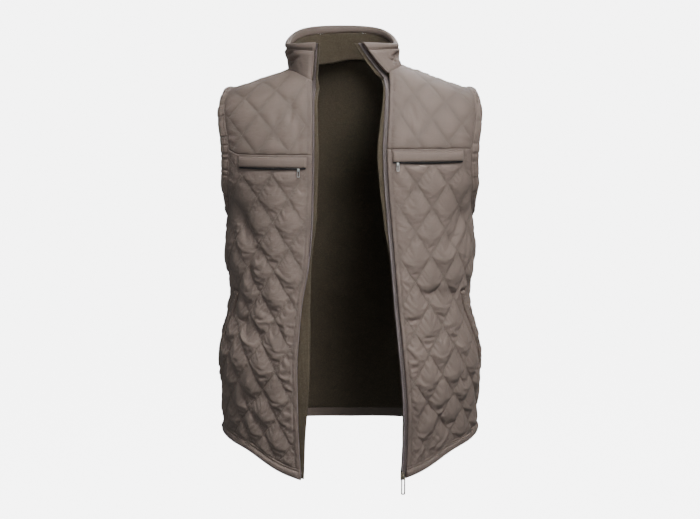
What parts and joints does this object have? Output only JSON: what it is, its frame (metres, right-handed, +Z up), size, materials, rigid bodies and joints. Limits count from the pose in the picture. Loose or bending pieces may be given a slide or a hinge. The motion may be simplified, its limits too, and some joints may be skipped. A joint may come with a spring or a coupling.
{
  "type": "quilted vest",
  "caption": "Sleeveless diamond-quilted vest worn open, with stand collar, bound armholes and hem, zipped chest pockets, side pocket welts and an open front zip.",
  "frame": {"origin": "on the mid-line at the height of the high shoulder points, where the shoulders carry the vest", "axes": "+Z up, -Y towards the front opening, +X towards the wearer's left"},
  "size_m": [0.4783, 0.3185, 0.8024],
  "materials": {
    "shell": "taupe microfibre with a soft sheen, quilted",
    "binding": "taupe microfibre, folded and top-stitched",
    "knit_lining": "olive-brown brushed knit",
    "zip_tape": "lilac-grey woven tape with a nylon coil",
    "dark_zip": "dark tape and coil in a slit",
    "slider_metal": "worn nickel",
    "pull_metal": "bright silver"
  },
  "bodies": {
    "garment": {"front_right_lower": "shell", "front_right_yoke": "shell", "front_left_lower": "shell", "front_left_yoke": "shell", "back": "shell", "armhole_binding_right": "binding", "armhole_binding_left": "binding", "hem_binding": "binding", "collar": "shell", "collar_lining": "knit_lining", "collar_binding": "binding", "zip_tape_right": "zip_tape", "zip_tape_left": "zip_tape", "facing_right": "knit_lining", "facing_left": "knit_lining", "chest_welt_right": "binding", "chest_welt_left": "binding", "chest_zip_right": "dark_zip", "chest_zip_left": "dark_zip", "side_welt_right": "binding", "side_welt_left": "binding", "main_slider": "slider_metal", "chest_right_slider": "pull_metal", "chest_left_slider": "pull_metal"},
    "main_pull": {"main_pull": "slider_metal"},
    "chest_right_pull": {"chest_right_pull": "pull_metal"},
    "chest_left_pull": {"chest_left_pull": "pull_metal"}
  },
  "joints": [
    {"name": "main_pull_swing", "type": "hinge", "parent": "garment", "child": "main_pull", "pos_m": [0.09126, -0.1582, -0.695], "axis": [-0.9377, -0.3473, 0], "range_deg": [0, 150]},
    {"name": "chest_right_pull_swing", "type": "hinge", "parent": "garment", "child": "chest_right_pull", "pos_m": [-0.08633, -0.13377, -0.1713], "axis": [-0.9944, 0.1061, 0], "range_deg": [0, 150]},
    {"name": "chest_left_pull_swing", "type": "hinge", "parent": "garment", "child": "chest_left_pull", "pos_m": [0.08028, -0.13388, -0.1613], "axis": [-0.9961, -0.0881, 0], "range_deg": [0, 150]}
  ]
}
